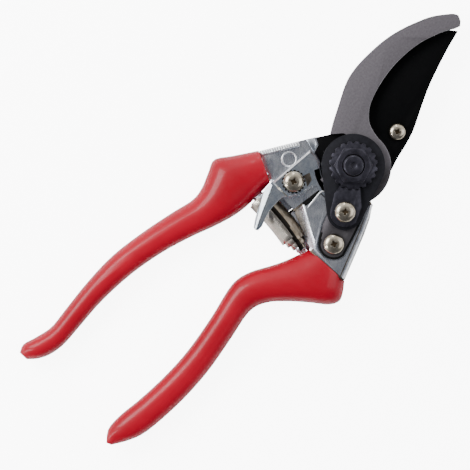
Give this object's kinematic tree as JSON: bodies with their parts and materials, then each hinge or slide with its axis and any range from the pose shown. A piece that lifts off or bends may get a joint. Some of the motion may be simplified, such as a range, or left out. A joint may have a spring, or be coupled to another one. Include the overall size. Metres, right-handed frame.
{
  "type": "pruning shears",
  "caption": "Bypass pruning shears with red dipped grips, a hooked counter-blade, a black cutting blade, a volute spring and a thumb latch, lying closed.",
  "frame": {"origin": "on the pivot axis, on the flat face of the pivot bolt's head, which is level with the table the shears lie on", "axes": "+X from the pivot out to the blade tips, +Y towards the handle that carries the cutting blade, +Z along the pivot axis up to the nut"},
  "size_m": [0.2115, 0.0742, 0.0246],
  "materials": {
    "red_grip": "glossy dipped vinyl",
    "handle_metal": "forged, polished on its bevels",
    "bright_steel": "polished",
    "hook_steel": "blasted grey",
    "black_coating": "satin non-stick coating",
    "black_steel": "blackened steel",
    "screw_nickel": "nickel plated"
  },
  "bodies": {
    "hook_side": {"hook_handle": "handle_metal", "hook_grip": "red_grip", "counter_blade": "hook_steel", "pivot_bolt": "black_steel", "pivot_washer": "screw_nickel", "pivot_nut": "black_steel", "pivot_cover_plate": "black_coating", "nut_lock_plate": "black_steel", "lock_plate_screw": "screw_nickel", "tang_screw": "screw_nickel", "hook_spring_seat": "bright_steel", "volute_spring": "bright_steel"},
    "blade_side": {"blade_handle": "handle_metal", "blade_grip": "red_grip", "cutting_blade": "black_coating", "blade_screw": "screw_nickel", "latch_screw": "screw_nickel", "latch_washer": "screw_nickel", "blade_spring_seat": "bright_steel"},
    "latch": {"thumb_latch": "bright_steel"}
  },
  "joints": [
    {"name": "handle_pivot", "type": "hinge", "parent": "hook_side", "child": "blade_side", "pos_m": [0, 0, 0], "axis": [0, 0, -1], "range_deg": [0, 30], "stiffness_Nm_per_rad": 0.5, "springref_deg": 40.11, "deforming": ["volute_spring"]},
    {"name": "latch_swing", "type": "hinge", "parent": "blade_side", "child": "latch", "pos_m": [-0.0205, 0.0118, 0], "axis": [0, 0, 1], "range_deg": [0, 12]}
  ]
}
